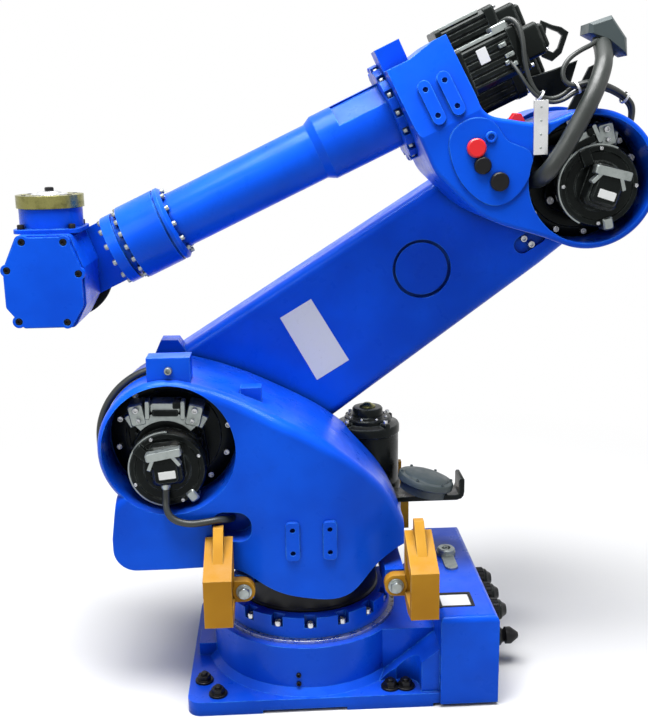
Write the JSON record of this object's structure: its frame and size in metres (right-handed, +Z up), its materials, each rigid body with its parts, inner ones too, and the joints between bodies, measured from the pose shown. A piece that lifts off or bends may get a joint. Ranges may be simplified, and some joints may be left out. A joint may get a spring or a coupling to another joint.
{
  "type": "industrial robot arm",
  "caption": "Floor-standing articulated robot arm folded for transport: blue castings, black servo motors, fork-lift pockets on the swivel and a bolted tool flange on the wrist",
  "frame": {"origin": "On the swing axis at the underside of the foot pads, the centre of the outer anchor bolts", "axes": "+X to the robot's front, +Y to its left, +Z up"},
  "size_m": [1.5351, 0.672, 1.679],
  "materials": {
    "blue_paint": "semi-gloss machine enamel",
    "black_paint": "satin black",
    "yellow_paint": "mustard enamel on castings",
    "bare_steel": "turned steel",
    "grey_metal": "grey cast metal",
    "plain_aluminium": "plain sheet",
    "black_rubber": "matt jacket",
    "red_plastic": "smooth",
    "black_plastic": "smooth",
    "white_plastic": "smooth",
    "gold_flange": "machined, gold tinted"
  },
  "bodies": {
    "base": {"base_casting": "blue_paint", "swing_ring": "bare_steel", "base_name_plate": "plain_aluminium", "base_arm_bracket": "grey_metal", "base_socket_panel": "black_paint"},
    "swivel": {"swivel_casting": "blue_paint", "shoulder_reducer": "bare_steel", "shoulder_motor": "black_paint", "stop_bracket": "blue_paint", "housing_hose": "black_rubber", "shoulder_motor_cable": "black_rubber", "swing_motor": "black_paint", "swing_cable_hook": "black_paint", "swing_gear_cover": "black_paint", "fork_bracket_front_left": "yellow_paint", "fork_bracket_front_right": "yellow_paint", "fork_bracket_rear_left": "yellow_paint", "fork_bracket_rear_right": "yellow_paint"},
    "lower_arm": {"lower_arm_casting": "blue_paint", "lower_arm_disc": "blue_paint", "elbow_hub_cover": "blue_paint", "shoulder_hub_cover": "blue_paint"},
    "elbow": {"elbow_casting": "blue_paint", "elbow_reducer": "bare_steel", "elbow_motor": "black_paint", "roll_motor": "black_paint", "bend_motor": "black_paint", "turn_motor": "black_paint", "red_plug": "red_plastic", "upper_black_plug": "black_plastic", "lower_black_plug": "black_plastic", "harness_strip": "plain_aluminium", "harness_bracket": "black_paint", "connector_cover": "grey_metal", "harness_hose": "black_rubber"},
    "forearm": {"forearm_flange": "blue_paint", "forearm_tube": "blue_paint", "forearm_end_cylinder": "blue_paint", "wrist_yoke": "blue_paint", "bend_cover": "black_paint"},
    "wrist": {"wrist_housing": "blue_paint", "wrist_cover": "blue_paint", "turn_reducer_case": "blue_paint"},
    "tool_flange": {"tool_flange": "gold_flange", "flange_cap": "white_plastic"}
  },
  "joints": [
    {"name": "swing", "type": "hinge", "parent": "base", "child": "swivel", "pos_m": [0, 0, 0.166], "axis": [0, 0, 1], "range_deg": [-180, 180]},
    {"name": "shoulder", "type": "hinge", "parent": "swivel", "child": "lower_arm", "pos_m": [0.325, 0, 0.655], "axis": [0, 1, 0], "range_deg": [-2, 134]},
    {"name": "elbow", "type": "hinge", "parent": "lower_arm", "child": "elbow", "pos_m": [-0.6545, 0, 1.26706], "axis": [0, -1, 0], "range_deg": [0, 236]},
    {"name": "roll", "type": "hinge", "parent": "elbow", "child": "forearm", "pos_m": [-0.51976, 0, 1.55731], "axis": [0.907, 0, -0.421], "range_deg": [-360, 360]},
    {"name": "bend", "type": "hinge", "parent": "forearm", "child": "wrist", "pos_m": [0.59862, 0, 1.03817], "axis": [0, 1, 0], "range_deg": [-11, 239]},
    {"name": "turn", "type": "hinge", "parent": "wrist", "child": "tool_flange", "pos_m": [0.59862, 0, 1.03817], "axis": [0, 0, 1], "range_deg": [-360, 360]}
  ]
}
